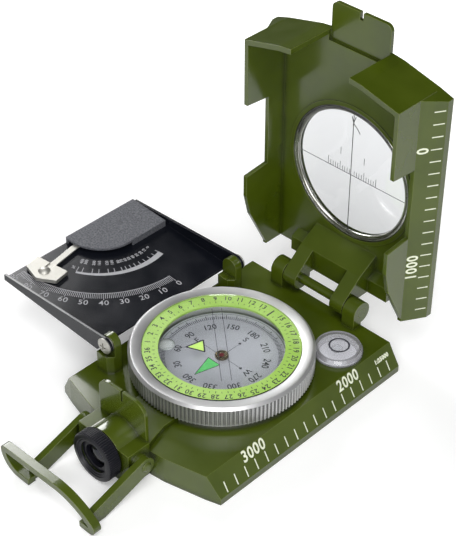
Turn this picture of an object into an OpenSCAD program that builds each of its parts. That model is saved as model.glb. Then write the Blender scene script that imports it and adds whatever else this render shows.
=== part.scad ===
// Prismatic sighting compass: a bevelled casting carries a liquid-filled capsule under a
// turning bezel, a bubble level, a fold-out clinometer, a focusing eyepiece with its rear
// sight, a thumb loop and a hinged lid with a window and a sighting hair.
// The origin is on the resting face under the dial axis. +Y is the line of sight and +Z is up.
// The lid stands upright, and the clinometer and the thumb loop are folded out.

/* [Base casting] */
// Width of the base over its two straight edges
base_w = 63.8; // [62.6:0.2:66]
// Height of the base plate
base_h = 9; // [8.4:0.1:9.6]
// From the dial axis to the hinge end of the base
base_far = 42.1; // [41.6:0.1:43.5]
// From the dial axis to the eyepiece end of the base
base_near = 38; // [37.4:0.1:40]
// Height of the upright edge below each bevel
edge_h = 2.2; // [1.6:0.1:3]
// Width of each bevel, seen from above
bevel_w = 4.1; // [3.4:0.1:4.2]
// How far the corners of a bowed end fall back behind its middle
end_bow = 5.2; // [4:0.1:6]
// Thickness of the floor under the capsule
floor_t = 1.6; // [1.2:0.1:2]

/* [Bezel] */
// Outer radius of the turning bezel
bezel_r = 26.9; // [26.4:0.1:27.2]
// Gap between the base and the bezel
bezel_lift = 2; // [1.6:0.1:2.4]
// Height of the bezel
bezel_h = 6.4; // [6:0.1:6.8]
// Chamfer round the bezel's upper edge
bezel_chamfer = 0.8; // [0.4:0.1:1]
// Wall of the bezel outside its bore
bezel_wall = 3.45; // [3:0.05:3.8]
// Width of the bright bevel inside the rim
bezel_bevel_w = 2.65; // [2.2:0.05:2.8]
// Depth of that bevel
bezel_bevel_h = 0.5; // [0.3:0.05:0.7]
// Thickness of the bezel's crystal
crystal_t = 0.6; // [0.4:0.05:0.8]
// Thickness of the azimuth ring
azimuth_t = 0.7; // [0.5:0.05:0.9]
// Width of the azimuth ring
azimuth_w = 4.7; // [4:0.1:5.2]

/* [Capsule] */
// Wall of the capsule cup
cup_wall = 2.05; // [1.6:0.05:2.4]
// Floor of the capsule cup
cup_floor_t = 1.2; // [0.8:0.1:1.6]
// Thickness of the capsule's lens
lens_t = 1.2; // [0.8:0.1:1.6]
// Thickness of the gasket under the lens
gasket_t = 0.5; // [0.3:0.05:0.8]
// Radius of the dial card
card_r = 19.3; // [18:0.1:19.8]
// Liquid above the dial card
card_depth = 3; // [2.4:0.1:3.6]
// Length of the card's magnet
magnet_l = 24; // [18:0.5:30]
// Width of the card's magnet
magnet_w = 5; // [4.5:0.1:6]

/* [Bubble level] */
// Outer radius of the level's flange
level_r = 7.3; // [6.8:0.1:7.4]
// Height of the level above the base
level_h = 2; // [1.6:0.1:2.4]
// From the base's straight edge to the level's axis
level_inset = 12.3; // [12.2:0.1:13]
// From the hinge end of the base to the level's axis
level_back = 13.7; // [11.6:0.1:14]

/* [Lid hinge] */
// Height of the hinge axis above the base
hinge_rise = 4.6; // [4.2:0.1:5]
// Radius of the hinge knuckles
knuckle_r = 3.5; // [3:0.1:4]
// From the middle to the inner face of each base knuckle
knuckle_x = 12.1; // [11.9:0.1:13]
// Width of each base knuckle
knuckle_w = 4.6; // [3.6:0.1:5.6]
// Radius of the hinge pin
pin_r = 1.5; // [1.2:0.05:1.7]

/* [Lid] */
// Thickness of the lid plate
lid_t = 2.2; // [1.8:0.1:2.4]
// Thickness of the lid's side walls
lid_wall = 1.3; // [1:0.1:1.5]
// Thickness of the lid's end walls
end_wall = 1.6; // [1.2:0.1:2]
// Gap between the walls of the closed lid and the base
lid_seat_gap = 0.2; // [0.1:0.05:0.4]
// From the hinge axis to the middle of the window
window_y = 36.3; // [36:0.1:38]
// Radius of the window opening
window_r = 20.2; // [18:0.1:20.6]
// Radius of the window glass
glass_r = 22; // [21.4:0.1:22.2]
// Thickness of the window glass
glass_t = 0.8; // [0.6:0.05:1]
// Thickness of the ring that holds the glass
ring_t = 1; // [0.8:0.05:1.1]
// Height of the rim round the window
rim_h = 2.5; // [2.4:0.05:2.6]
// Width of the sighting tab and of the gap in the end walls
sight_gap_w = 21; // [20:0.2:23]
// Length of the sighting tab beyond the lid plate
sight_tab_l = 12; // [8:0.5:13]
// Thickness of the sighting tab
sight_tab_t = 1.2; // [0.8:0.1:1.6]
// Radius of the sighting hair
hair_r = 0.12; // [0.08:0.01:0.2]

/* [Clinometer] */
// From the base's straight edge to the clinometer's hinge axis
clin_inset = 9.4; // [9:0.1:9.6]
// Height of the clinometer's hinge axis above the base
clin_rise = 9.4; // [9.2:0.1:9.8]
// How far the plate rises outwards when it is folded out
clin_tilt = 2.95; // [0:0.05:4]
// From the hinge axis to the plate's outer edge
clin_len = 45.1; // [44:0.1:46]
// Width of the clinometer over its two flanges
clin_w = 54.2; // [53.8:0.1:55]
// From the dial axis to the outer face of the near flange
clin_near = 24.35; // [24:0.05:24.6]
// Thickness of the sheet metal
sheet_t = 0.8; // [0.6:0.05:0.9]
// From the hinge axis down to the plate's upper face
clin_drop = 2.94; // [2.8:0.02:3.1]
// Height of the flanges above the plate at its outer edge
flange_h = 1.27; // [0.8:0.01:1.6]
// Radius of the hinge ears
ear_r = 2.55; // [2.3:0.05:2.6]
// From the plate's outer edge back to the pendulum's pivot
pivot_inset = 2.2; // [2:0.1:3]
// From the dial axis to the pendulum's pivot, along the sight line
pivot_y = 12.95; // [12:0.05:14]
// Radius of the cover's round edge
cover_r = 12.85; // [12:0.05:13]
// Height of the cover
cover_h = 2.3; // [2.2:0.05:2.5]
// Reading of the pendulum at rest, in degrees
pendulum_angle = 80; // [0:1:90]
// From the near flange to the tip of the pendulum's weight as it swings past
weight_tip_gap = 4.5; // [3.5:0.1:6]
// Width of the pendulum's weight
weight_w = 11.6; // [9:0.1:11.8]
// Width of the pendulum's strip
strip_w = 2; // [1.6:0.1:2.4]

/* [Eyepiece] */
// Half width of the eyepiece block
block_half = 10; // [9.8:0.1:10.2]
// Length of the block beyond the base
block_l = 7.8; // [7.6:0.1:8.6]
// Height of the block's shoulders
block_h = 12; // [11:0.1:12.6]
// Height of the eyepiece axis
eye_z = 7.9; // [7.8:0.05:8.4]
// Radius of the vault over the eyepiece axis
vault_r = 7.2; // [7:0.05:7.3]
// Width of the rear sight
sight_w = 18.4; // [17:0.2:20]
// Height of the rear sight above the base
sight_h = 15.5; // [14:0.1:15.6]
// Thickness of the rear sight
sight_t = 1; // [0.8:0.05:1.2]
// Corner radius of the rear sight
sight_corner_r = 4; // [3:0.1:5]
// Width of the sighting slit
slit_w = 0.8; // [0.6:0.05:1.2]
// Depth of the sighting slit
slit_h = 3.8; // [3:0.1:5]
// Outer radius of the focusing ring
focus_r = 7.7; // [7.5:0.05:8]
// Length of the focusing ring
focus_l = 4.05; // [3.8:0.05:5]

/* [Thumb loop] */
// From the near end of the base to the loop's pivot
loop_back = 4.1; // [3.6:0.1:4.6]
// Height of the loop's pivot
loop_z = 8; // [7.6:0.1:8.4]
// Thickness of the loop's strip
loop_t = 2; // [1.6:0.1:2.2]
// Gap between the block and each arm
loop_gap = 1.1; // [0.8:0.05:1.4]
// Radius of the arms' round ends
arm_r = 2.75; // [2.4:0.05:3]
// From the pivot to the cross ring
loop_reach = 19.7; // [18.6:0.1:21]
// Width of the cross ring along the sight line
cross_l = 2.5; // [2:0.1:3.2]
// From the middle of the loop to the left end of the cross ring
cross_left = 21.5; // [20:0.1:23]
// From the middle of the loop to the right end of the cross ring
cross_right = 16.4; // [15.6:0.1:18]
// Height of the crest of the cross ring
cross_top = 9.2; // [8.8:0.1:9.6]

/* [Hidden] */
$fn = 96;

// Clearances: a shaft that turns in its bore, a piece pressed in its seat, and the
// overrun of every cut
run_gap = 0.05;
fit_gap = 0.02;
over = 0.5;

// The bowed ends of the base and the lid, as shares of the half width and of the bow
bow_x_shares = [1, 0.856, 0.461, 0.313];
bow_y_shares = [1, 0.712, 0.115, 0];

// Base
base_half = base_w / 2;

// Bezel, from the rim down to the flange that carries the azimuth ring
bezel_rim_w = 0.5;
crystal_sink = 0.15;
azimuth_gap = 0.05;
flange_t = 0.6;
flange_w = 2.45;
bezel_low = base_h + bezel_lift;
bezel_top = bezel_low + bezel_h;
bezel_bore_r = bezel_r - bezel_wall;
crystal_seat_r = bezel_r - bezel_chamfer - bezel_rim_w - bezel_bevel_w;
crystal_z = bezel_top - crystal_sink - crystal_t;
azimuth_z = crystal_z - azimuth_gap - azimuth_t;
flange_z = azimuth_z - flange_t;
flange_r = bezel_bore_r - flange_w;
azimuth_r = crystal_seat_r - run_gap;

// Collar of the base, with the groove of the retaining clip
collar_wall = 0.9;
collar_h = 4.6;
collar_r = bezel_bore_r - run_gap;
collar_bore_r = collar_r - collar_wall;
clip_rise = 3.6;
clip_t = 0.46;
clip_gap = 0.05;
clip_bite = 0.4;
clip_reach = 0.45;
clip_opening = 6;
clip_z = base_h + clip_rise;
washer_w = 1.3;
washer_gap = 0.1;

// Capsule
cup_lip = 0.8;
cup_under_flange = 0.4;
seat_land = 0.15;
cup_r = collar_bore_r - fit_gap;
cup_bore_r = cup_r - cup_wall;
cup_top = flange_z - cup_under_flange;
lens_z = cup_top - lens_t;
gasket_z = lens_z - gasket_t;
lens_r = cup_r - cup_lip;

// Dial card, its magnet, its jewel and the pivot that it turns on
card_t = 0.5;
magnet_t = 1.6;
jewel_r = 2;
jewel_h = 2.2;
jewel_below = 0.8;
jewel_bore_h = 1.6;
pivot_r = 0.5;
point_h = 0.5;
point_r = 0.1;
card_z = lens_z - card_depth - card_t;
jewel_z = card_z - jewel_below;
pivot_top = jewel_z + jewel_bore_h - run_gap;

// Bubble level
level_x = base_half - level_inset;
level_y = base_far - level_back;
level_flange_w = 1.1;
level_wall = 0.5;
level_stem_r = level_r - level_flange_w;
level_depth = 2.5;
level_cavity_r = level_stem_r - level_wall;
level_floor = 0.8;
level_roof = 0.7;
level_edge_h = 1.1;
level_slope = 0.5;
level_disc_t = 0.5;

// Lid hinge
hinge_y = base_far;
hinge_z = base_h + hinge_rise;
arm_gap = 0.3;
arm_w = 4.9;

// Lid, drawn as if it lay open and flat beyond the hinge, its outer face at z = 0
lid_end_gap = 0.5;
lid_near = hinge_y + lid_end_gap;
lid_far = 2 * hinge_y + base_near;
lid_rim_h = base_h;
tab_h = 2 * hinge_z - base_h - lid_seat_gap;
wall_x = base_half - bevel_w - lid_wall;
dial_mirror_y = 2 * hinge_y;
notch_near = 11.2;
notch_far = 12.1;
tab_start = 0.8;
tab_knee_l = 15;
tab_crest_l = 22.4;
tab_knee_share = 0.8;
tab_end_run = 0.8;
window_mid = hinge_y + window_y;
window_skin = 0.6;
rim_w = 1.25;
plate_step = 3.4;
tab_corner_r = 2;
tab_notch_w = 1.2;
tab_notch_l = 2.3;
foot_w = 38.2;
foot_l = 4.8;
foot_h = 5.35;
foot_slope = 1.6;
boss_l = 7.8;
boss_h = 8.6;
boss_crest = 0.7;
boss_slope = 4.2;

// Clinometer, drawn about its hinge axis: -X runs outwards along the plate
clin_x = clin_inset - base_half;
clin_z = base_h + clin_rise;
clin_far = clin_w - clin_near;
clin_start = 3.4;
neck_angle = 222;
clin_bezel_gap = 0.6;
pivot_x = pivot_inset - clin_len;
lug_half = 2.8;
lug_wall = 2.5;
lug_step = 2.1;
lug_recess_r = 3.5;
lug_corner = 1.5;
lug_bezel_gap = 0.7;
lug_shelf = 3.2;
clin_washer_t = 0.3;
clin_washer_r = 2.3;
clin_washer_gap = 0.05;
shoulder_r = 1.2;
thread_r = 0.95;
thread_l = 2.1;
head_r = 2.5;
head_edge = 0.4;
head_dome = 0.5;
cross_slot_w = 0.6;
cross_slot_l = 2.8;
cross_slot_h = 0.5;
near_lug_wall_y = -(clin_near - sheet_t - clin_washer_t - 2 * clin_washer_gap);
far_lug_high_y = clin_far - sheet_t - clin_washer_t - 2 * clin_washer_gap;

// Pendulum and its cover
cover_wall = 0.5;
cover_room = 1.5;
cover_flange_gap = 0.8;
slot_side = 1.4;
post_r = 0.8;
post_collar_r = pivot_inset - cover_wall - 4 * run_gap;
post_collar_h = 0.85;
hub_r = pivot_inset - cover_wall - 4 * run_gap;
strip_h = 0.9;
strip_t = 0.4;
strip_tail = 1.5;
weight_h = 0.3;
weight_t = 1.3;
weight_side = 5.4;
weight_tip = 2.6;
rivet_back = 4;
weight_tip_r = pivot_y + clin_near - sheet_t - weight_tip_gap;
rivet_shank_r = 0.8;
rivet_head_r = 1.9;
rivet_head_h = 0.9;

// Eyepiece
block_z = 0.6;
sight_set = 0.4;
sight_foot_t = 1.5;
sight_foot_w = 13.8;
sight_foot_l = 8.5;
sight_foot_gap = 0.4;
nose_l = 3.2;
nose_r = 6.2;
nose_bore_r = 5.2;
prism_leg = 5;
prism_w = 8;
prism_gap = 0.1;
prism_back = 1.5;
ring_gap = 0.35;
ring_lip = 0.9;
ring_lip_r = 5;
ring_hole_r = 3.4;
ring_dish = 0.5;
ring_chamfer = 0.3;
cell_wall = 0.95;
cell_l = 3.7;
cell_back = 0.1;
cell_lip = 1.25;
cell_lip_r = 3.7;
lens_curve_r = 9;
eye_lens_t = 1.5;
block_near_y = -(base_near + block_l);
nose_near_y = block_near_y - nose_l;
ring_far_y = block_near_y - ring_gap;
ring_near_y = ring_far_y - focus_l;
cell_near_y = nose_near_y + cell_back;
lens_sag = lens_curve_r - sqrt(lens_curve_r * lens_curve_r - cell_lip_r * cell_lip_r);
lens_near_y = cell_near_y + cell_lip - lens_sag;
screw_r = 1;
screw_head_r = 1.9;
screw_head_h = 1.4;
screw_sink = 0.2;
screw_side = 5.6;
screw_back = 3;

// Thumb loop
loop_y = -(base_near + loop_back);
arm_x = block_half + loop_gap;
loop_pin_r = 1;
loop_pin_root = 3.2;
loop_head_r = 1.6;
loop_head_h = 0.5;
loop_low = 0.3;
loop_slope = 17.5;
loop_bar_t = 2;
loop_opening = 21;
loop_toe = 2.2;
left_top = 8.6;
left_low_r = 6.7;
left_high_r = left_top - loop_low - left_low_r;
crest_x = 1;
right_low_r = loop_bar_t;
crest_rise = cross_top - loop_low - right_low_r;
crest_run = cross_right - right_low_r - crest_x;
crest_r = (crest_run ^ 2 + crest_rise ^ 2 - right_low_r ^ 2) / (2 * (crest_rise - right_low_r));
cross_near_y = loop_y - loop_reach - cross_l;

// Point where a line from p touches a circle at c, on its left (1) or its right (-1)
function touch_point(p, c, r, side) =
    let (d = c - p, a = atan2(d[1], d[0]) + side * asin(r / norm(d)), l = sqrt(d * d - r * r))
    p + l * [cos(a), sin(a)];

// Outline in X and Y with one straight end and one bowed end
module bowed_outline(flat_y, bowed_y, side) {
    last = len(bow_x_shares) - 1;
    right = [for (i = [0:last])
        [base_half * bow_x_shares[i], bowed_y - side * end_bow * bow_y_shares[i]]];
    left = [for (i = [last:-1:0]) [-right[i][0], right[i][1]]];
    polygon(concat([[-base_half, flat_y], [base_half, flat_y]], right, left));
}

// A profile in X and Z, drawn out along Y
module along_y(low, high) {
    translate([0, high, 0]) rotate([90, 0, 0]) linear_extrude(high - low) children();
}

// A profile in Y and Z, drawn out along X
module along_x(low, high) {
    translate([low, 0, 0]) rotate([90, 0, 90]) linear_extrude(high - low) children();
}

// A round bar along X through the point (y, z)
module rod_x(r, low, high, y, z) {
    translate([low, y, z]) rotate([0, 90, 0]) cylinder(r = r, h = high - low);
}

// A round bar along Y through the point (x, z)
module rod_y(r, low, high, x, z) {
    translate([x, low, z]) rotate([-90, 0, 0]) cylinder(r = r, h = high - low);
}

// A flat ring about the dial axis
module dial_ring(r_in, r_out, low, high) {
    translate([0, 0, low]) difference() {
        cylinder(r = r_out, h = high - low);
        translate([0, 0, -over]) cylinder(r = r_in, h = high - low + 2 * over);
    }
}

// A rectangle with round corners
module round_rect(low, high, r) {
    translate([low[0] + r, low[1]]) square([high[0] - low[0] - 2 * r, high[1] - low[1]]);
    translate([low[0], low[1] + r]) square([high[0] - low[0], high[1] - low[1] - 2 * r]);
    for (x = [low[0] + r, high[0] - r]) {
        for (y = [low[1] + r, high[1] - r]) {
            translate([x, y]) circle(r);
        }
    }
}

// Bevelled section of the base
module base_section() {
    top_half = base_half - bevel_w;
    polygon([[-base_half, 0], [base_half, 0], [base_half, edge_h], [top_half, base_h],
        [-top_half, base_h], [-base_half, edge_h]]);
}

// One of the two cast lugs that carry the clinometer, with its spot face on the near side
module clinometer_lug(wall_y, high_y) {
    low_y = wall_y - lug_step;
    difference() {
        union() {
            linear_extrude(clin_z) translate([clin_x, 0]) polygon([
                [-lug_half, low_y], [lug_half - lug_corner, low_y],
                [lug_half, low_y + lug_corner], [lug_half, high_y], [-lug_half, high_y]]);
            rod_y(lug_half, wall_y, high_y, clin_x, clin_z);
        }
        rod_y(lug_recess_r, low_y - over, wall_y, clin_x, clin_z);
        translate([clin_x - lug_recess_r, low_y - over, clin_z - lug_shelf])
            cube([2 * lug_recess_r, wall_y - low_y + over, 2 * lug_shelf]);
        translate([0, 0, base_h]) cylinder(r = bezel_r + lug_bezel_gap, h = clin_z);
    }
}

module base_body() {
    color("olivedrab") difference() {
        union() {
            intersection() {
                linear_extrude(base_h) bowed_outline(base_far, -base_near, -1);
                along_y(-base_near - over, base_far + over) base_section();
            }
            cylinder(r = collar_r, h = base_h + collar_h);
            for (x = [-knuckle_x - knuckle_w, knuckle_x]) {
                along_x(x, x + knuckle_w) {
                    translate([hinge_y, hinge_z]) circle(knuckle_r);
                    translate([hinge_y - knuckle_r, base_h]) square([knuckle_r, hinge_rise]);
                }
            }
            clinometer_lug(near_lug_wall_y, near_lug_wall_y + lug_wall);
            clinometer_lug(far_lug_high_y - lug_wall, far_lug_high_y);
        }
        translate([0, 0, floor_t]) cylinder(r = collar_bore_r, h = bezel_top);
        dial_ring(collar_r - clip_bite, collar_r + over, clip_z - clip_gap, clip_z + clip_t + clip_gap);
        rod_x(pin_r + fit_gap, -base_half, base_half, hinge_y, hinge_z);
        translate([level_x, level_y, base_h - level_depth - run_gap])
            cylinder(r = level_stem_r + run_gap, h = level_depth + over);
        for (x = [-screw_side, screw_side]) {
            translate([x, screw_back - base_near, -over]) {
                cylinder(r = screw_r + run_gap, h = base_h + 2 * over);
                cylinder(r = screw_head_r + run_gap, h = over + screw_sink + screw_head_h);
            }
        }
        rod_y(thread_r, near_lug_wall_y - over, near_lug_wall_y + thread_l, clin_x, clin_z);
        rod_y(thread_r, far_lug_high_y - thread_l, far_lug_high_y + over, clin_x, clin_z);
    }
}

module capsule_cup() {
    color("silver") difference() {
        translate([0, 0, floor_t]) cylinder(r = cup_r, h = cup_top - floor_t);
        translate([0, 0, floor_t + cup_floor_t]) cylinder(r = cup_bore_r, h = cup_top);
        translate([0, 0, gasket_z]) cylinder(r = lens_r, h = cup_top);
    }
}

module capsule_gasket() {
    color("dimgray") dial_ring(cup_bore_r + seat_land, lens_r, gasket_z, lens_z);
}

module capsule_lens() {
    color("lightcyan", 0.4) translate([0, 0, lens_z]) cylinder(r = lens_r, h = lens_t);
}

module card_pivot() {
    color("gray") translate([0, 0, floor_t + cup_floor_t]) {
        cylinder(r = pivot_r, h = pivot_top - point_h - floor_t - cup_floor_t);
        translate([0, 0, pivot_top - point_h - floor_t - cup_floor_t])
            cylinder(r1 = pivot_r, r2 = point_r, h = point_h);
    }
}

module dial_card() {
    color("gainsboro") dial_ring(jewel_r + fit_gap, card_r, card_z, card_z + card_t);
}

module card_magnet() {
    color("darkgray") translate([0, 0, card_z - magnet_t]) difference() {
        linear_extrude(magnet_t) square([magnet_l, magnet_w], center = true);
        translate([0, 0, -over]) cylinder(r = jewel_r + fit_gap, h = magnet_t + 2 * over);
    }
}

module card_jewel() {
    color("goldenrod") translate([0, 0, jewel_z]) difference() {
        cylinder(r = jewel_r, h = jewel_h);
        translate([0, 0, -over]) cylinder(r = pivot_r + run_gap, h = jewel_bore_h + over);
    }
}

module bezel_friction_washer() {
    color("white") dial_ring(collar_r + washer_gap, collar_r + washer_gap + washer_w,
        base_h, bezel_low - fit_gap);
}

module bezel_retainer() {
    color("gray") difference() {
        dial_ring(collar_r - clip_bite, collar_r + clip_reach, clip_z, clip_z + clip_t);
        translate([0, -clip_opening / 2, clip_z - over]) cube([bezel_r, clip_opening, clip_t + 2 * over]);
    }
}

module bezel_ring() {
    rim_r = bezel_r - bezel_chamfer;
    bevel_r = rim_r - bezel_rim_w;
    color("silver") difference() {
        rotate_extrude() polygon([
            [flange_r, flange_z], [bezel_bore_r, flange_z], [bezel_bore_r, bezel_low],
            [bezel_r, bezel_low], [bezel_r, bezel_top - bezel_chamfer], [rim_r, bezel_top],
            [bevel_r, bezel_top], [crystal_seat_r, bezel_top - bezel_bevel_h],
            [crystal_seat_r, azimuth_z], [flange_r, azimuth_z]]);
        dial_ring(flange_r, bezel_bore_r + clip_reach + clip_gap, clip_z - clip_gap,
            clip_z + clip_t + clip_gap);
    }
}

module azimuth_ring() {
    color("yellowgreen") dial_ring(azimuth_r - azimuth_w, azimuth_r, azimuth_z, azimuth_z + azimuth_t);
}

module bezel_crystal() {
    color("lightcyan", 0.4) translate([0, 0, crystal_z]) cylinder(r = azimuth_r, h = crystal_t);
}

module level_vial() {
    color("lightcyan", 0.6) translate([level_x, level_y, base_h]) rotate_extrude() polygon([
        [0, -level_depth], [level_stem_r, -level_depth], [level_stem_r, 0], [level_r, 0],
        [level_r, level_edge_h], [level_r - level_slope, level_h], [0, level_h],
        [0, level_h - level_roof], [level_cavity_r, level_h - level_roof],
        [level_cavity_r, level_floor - level_depth], [0, level_floor - level_depth]]);
}

module level_disc() {
    color("honeydew") translate([level_x, level_y, base_h - level_depth + level_floor])
        cylinder(r = level_cavity_r - run_gap, h = level_disc_t);
}

// Corner points of the trapezoid under the rear sight
module sight_foot_outline() {
    polygon([[-sight_w / 2, -base_near], [sight_w / 2, -base_near],
        [sight_foot_w / 2, sight_foot_l - base_near], [sight_foot_w / 2, 0],
        [-sight_foot_w / 2, 0], [-sight_foot_w / 2, sight_foot_l - base_near]]);
}

module eyepiece_housing() {
    chamber_y = block_near_y + prism_back;
    color("olivedrab") difference() {
        union() {
            translate([-block_half, block_near_y, block_z])
                cube([2 * block_half, block_l, block_h - block_z]);
            rod_y(vault_r, block_near_y, -base_near, 0, eye_z);
            rod_y(nose_r, nose_near_y, block_near_y, 0, eye_z);
            along_y(-base_near - sight_set, sight_t - base_near - sight_set) {
                translate([-sight_w / 2, base_h]) square([sight_w, sight_h - sight_corner_r]);
                round_rect([-sight_w / 2, base_h], [sight_w / 2, base_h + sight_h], sight_corner_r);
            }
            translate([0, 0, base_h]) difference() {
                linear_extrude(sight_foot_t) sight_foot_outline();
                translate([0, 0, -over]) cylinder(r = collar_r + washer_w + sight_foot_gap,
                    h = sight_foot_t + 2 * over);
            }
            rod_x(arm_r, -arm_x + run_gap, arm_x - run_gap, loop_y, loop_z);
        }
        translate([-slit_w / 2, -base_near - sight_set - over, base_h + sight_h - slit_h])
            cube([slit_w, sight_t + 2 * over, slit_h + over]);
        translate([-prism_w / 2 - prism_gap, chamber_y - prism_gap, eye_z - prism_leg / 2])
            cube([prism_w + 2 * prism_gap, prism_leg + 2 * prism_gap, prism_leg + prism_gap]);
        rod_y(nose_bore_r, nose_near_y - over, chamber_y, 0, eye_z);
        for (x = [-screw_side, screw_side]) {
            translate([x, screw_back - base_near, base_h - over])
                cylinder(r = screw_r, h = over + sight_foot_t - screw_sink);
        }
        rod_x(loop_pin_r + fit_gap, arm_x - loop_gap - loop_pin_root, arm_x + over, loop_y, loop_z);
        rod_x(loop_pin_r + fit_gap, -arm_x - over, loop_pin_root + loop_gap - arm_x, loop_y, loop_z);
    }
}

module housing_screws() {
    color("gray") for (x = [-screw_side, screw_side]) {
        translate([x, screw_back - base_near, screw_sink]) {
            cylinder(r = screw_r, h = base_h + sight_foot_t - 2 * screw_sink);
            cylinder(r = screw_head_r, h = screw_head_h);
        }
    }
}

module eyepiece_prism() {
    y = block_near_y + prism_back;
    z = eye_z - prism_leg / 2;
    color("lightcyan", 0.6) along_x(-prism_w / 2, prism_w / 2)
        polygon([[y, z], [y + prism_leg, z], [y, z + prism_leg]]);
}

module focusing_ring() {
    color([0.1, 0.1, 0.1]) translate([0, ring_near_y, eye_z]) rotate([-90, 0, 0])
        rotate_extrude() polygon([
            [ring_hole_r, ring_dish], [ring_lip_r, ring_dish], [ring_lip_r + ring_dish, 0],
            [focus_r - ring_chamfer, 0], [focus_r, ring_chamfer],
            [focus_r, focus_l - ring_chamfer], [focus_r - ring_chamfer, focus_l],
            [nose_r + run_gap, focus_l], [nose_r + run_gap, ring_lip], [ring_hole_r, ring_lip]]);
}

module lens_cell() {
    r = nose_bore_r - run_gap;
    color("black") translate([0, cell_near_y, eye_z]) rotate([-90, 0, 0]) difference() {
        cylinder(r = r, h = cell_l);
        translate([0, 0, -over]) cylinder(r = cell_lip_r, h = cell_l + 2 * over);
        translate([0, 0, cell_lip]) cylinder(r = r - cell_wall, h = cell_l);
    }
}

module eyepiece_lens() {
    r = nose_bore_r - run_gap - cell_wall;
    color("lightcyan", 0.6) intersection() {
        rod_y(r, lens_near_y, lens_near_y + eye_lens_t, 0, eye_z);
        translate([0, lens_near_y + lens_curve_r, eye_z]) sphere(lens_curve_r);
    }
}

module loop_pins() {
    color("olivedrab") for (side = [0, 1]) {
        mirror([side, 0, 0]) {
            rod_x(loop_pin_r, arm_x - loop_gap - loop_pin_root, arm_x + loop_t + run_gap, loop_y, loop_z);
            translate([arm_x + loop_t + run_gap, loop_y, loop_z]) rotate([0, 90, 0])
                cylinder(r1 = loop_head_r, r2 = loop_pin_r, h = loop_head_h);
        }
    }
}

// Side of one arm of the thumb loop, in Y and Z
module arm_profile() {
    end_y = cross_near_y + cross_l;
    fall = tan(loop_slope);
    upper = [loop_y - arm_r * sin(loop_slope), loop_z + arm_r * cos(loop_slope)];
    lower = [loop_y + arm_r * sin(loop_slope), loop_z - arm_r * cos(loop_slope)];
    toe_y = lower[0] - (lower[1] - loop_low) / fall;
    translate([loop_y, loop_z]) circle(arm_r);
    polygon([upper, [end_y, upper[1] - (upper[0] - end_y) * fall], [end_y, loop_low],
        [toe_y, loop_low], lower]);
}

// Outline of the cross ring in X and Z, drawn in by an inset: its left end is tall
// and round, and from its crest the top falls in one arc to the right end
module ring_outline(inset) {
    left_x = left_low_r - cross_left;
    left_z = loop_low + left_low_r;
    low_z = loop_low + inset;
    top_z = left_top - inset;
    side_z = min(left_z, top_z);
    bend_r = max(left_high_r - inset, 0);
    corner_x = left_x - sqrt((left_low_r - inset) ^ 2 - (left_z - side_z) ^ 2);
    intersection() {
        translate([left_x, left_z]) circle(left_low_r - inset);
        translate([-cross_left, loop_low]) square([left_low_r, side_z - loop_low]);
    }
    polygon(concat([[left_x, low_z], [crest_x, low_z], [crest_x, cross_top - inset],
        [corner_x + bend_r, top_z]], bend_r > 0 ? [[corner_x, side_z]] : []));
    if (bend_r > 0) translate([corner_x + bend_r, side_z]) circle(bend_r);
    intersection() {
        translate([crest_x, cross_top - crest_r]) circle(crest_r - inset);
        union() {
            translate([crest_x - over, low_z]) square([crest_run + over, cross_top]);
            translate([crest_x, loop_low + right_low_r])
                square([crest_run * (crest_r - inset) / (crest_r - right_low_r), cross_top]);
        }
    }
    if (inset < right_low_r)
        translate([crest_x + crest_run, loop_low + right_low_r]) circle(right_low_r - inset);
}

module thumb_loop() {
    end_y = cross_near_y + cross_l;
    color("olivedrab") difference() {
        union() {
            for (x = [-arm_x - loop_t, arm_x]) {
                along_x(x, x + loop_t) {
                    arm_profile();
                    translate([end_y - loop_toe, loop_low]) square([loop_toe, loop_bar_t]);
                }
            }
            along_y(cross_near_y, end_y) difference() {
                ring_outline(0);
                ring_outline(loop_bar_t);
                translate([-loop_opening / 2, loop_low - over]) square([loop_opening, loop_bar_t + 2 * over]);
            }
        }
        rod_x(loop_pin_r + run_gap, -arm_x - loop_t - over, arm_x + loop_t + over, loop_y, loop_z);
    }
}

// Stands the lid upright about its hinge
module lid_pose() {
    translate([0, hinge_y, hinge_z]) rotate([90, 0, 0]) translate([0, -hinge_y, -hinge_z]) children();
}

module lid_hinge_pin() {
    color("olivedrab") rod_x(pin_r, -knuckle_x - knuckle_w, knuckle_x + knuckle_w, hinge_y, hinge_z);
}

// Section of the lid plate with its two bevelled walls, in X and Z
module lid_section() {
    top_half = base_half - bevel_w;
    polygon([[-base_half, 0], [base_half, 0], [base_half, edge_h], [top_half, lid_rim_h],
        [wall_x, lid_rim_h], [wall_x, lid_t], [-wall_x, lid_t], [-wall_x, lid_rim_h],
        [-top_half, lid_rim_h], [-base_half, edge_h]]);
}

// The tabs on a side wall, in Y and Z, with the gap between them for the bezel
module wall_tabs() {
    gap_near = dial_mirror_y - notch_near;
    gap_far = dial_mirror_y + notch_far;
    start = lid_near + tab_start;
    knee_h = lid_rim_h + tab_knee_share * (tab_h - lid_rim_h);
    corner_y = lid_far - end_bow * bow_y_shares[1];
    polygon([[start, lid_t], [start, lid_rim_h], [lid_near + tab_knee_l, knee_h],
        [lid_near + tab_crest_l, tab_h], [gap_near - tab_end_run, tab_h],
        [gap_near, lid_rim_h], [gap_near, lid_t]]);
    polygon([[gap_far, lid_t], [gap_far, lid_rim_h], [gap_far + tab_end_run, tab_h],
        [corner_y, tab_h], [corner_y, lid_t]]);
}

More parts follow.
